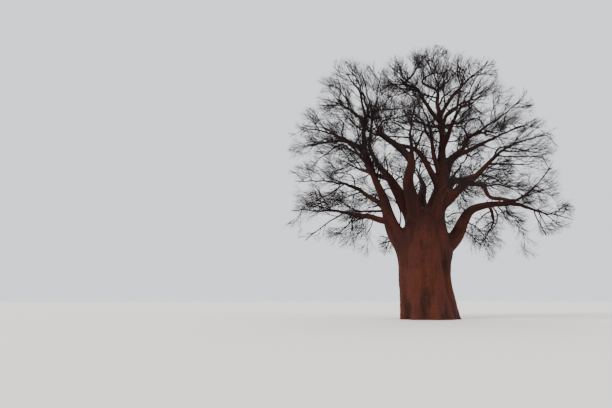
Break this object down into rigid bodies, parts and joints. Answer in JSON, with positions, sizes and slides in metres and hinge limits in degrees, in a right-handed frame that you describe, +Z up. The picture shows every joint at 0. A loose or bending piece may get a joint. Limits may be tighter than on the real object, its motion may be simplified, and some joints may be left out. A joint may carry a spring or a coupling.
{
  "type": "baobab tree",
  "caption": "Leafless baobab tree with a swollen fluted trunk, stout spreading limbs and fine bare twigs, cut flat at ground level.",
  "frame": {"origin": "middle of the flat cut under the trunk, at ground level", "axes": "+Z up, -Z out of the flat cut into the ground, +X to the right of the picture, -Y towards the camera"},
  "size_m": [20.6498, 17.1642, 20.8628],
  "materials": {
    "trunk_bark": "smooth, folded bark with fine wrinkles",
    "bough_bark": "smooth bark with ring-like wrinkles",
    "twigs": "fine dull bark"
  },
  "bodies": {
    "root": {"trunk": "trunk_bark", "centre_limb": "bough_bark", "left_limb": "bough_bark", "right_low_limb": "bough_bark", "inner_left_limb": "bough_bark", "front_centre_bough": "bough_bark", "right_middle_bough": "bough_bark", "right_wavy_bough": "bough_bark", "back_right_bough": "bough_bark", "right_upper_bough": "bough_bark", "arching_bough": "bough_bark", "centre_left_bough": "bough_bark", "right_inner_bough": "bough_bark", "back_top_bough": "bough_bark", "front_right_bough": "bough_bark", "right_crest_bough": "bough_bark", "top_left_bough": "bough_bark", "top_bough": "bough_bark", "top_right_bough": "bough_bark", "back_bough": "bough_bark", "back_left_bough": "bough_bark", "back_low_bough": "bough_bark", "front_low_bough": "bough_bark", "front_left_bough": "bough_bark", "left_low_bough": "bough_bark", "left_middle_bough": "bough_bark", "left_outer_bough": "bough_bark", "left_upper_bough": "bough_bark", "left_crest_bough": "bough_bark", "left_crown_bough": "bough_bark", "right_low_bough": "bough_bark", "right_drooping_bough": "bough_bark", "left_outer_twigs": "twigs", "left_upper_twigs": "twigs", "left_crest_twigs": "twigs", "left_crown_twigs": "twigs", "left_middle_twigs": "twigs", "left_low_twigs": "twigs", "left_drooping_twigs": "twigs", "front_left_twigs": "twigs", "front_centre_twigs": "twigs", "arching_twigs": "twigs", "centre_left_twigs": "twigs", "top_left_twigs": "twigs", "top_twigs": "twigs", "top_right_twigs": "twigs", "right_crest_twigs": "twigs", "front_right_twigs": "twigs", "right_inner_twigs": "twigs", "right_upper_twigs": "twigs", "right_middle_twigs": "twigs", "right_wavy_twigs": "twigs", "right_low_twigs": "twigs", "right_drooping_twigs": "twigs", "front_low_twigs": "twigs", "back_left_twigs": "twigs", "back_right_twigs": "twigs", "back_twigs": "twigs", "back_top_twigs": "twigs", "back_low_twigs": "twigs"}
  },
  "joints": []
}
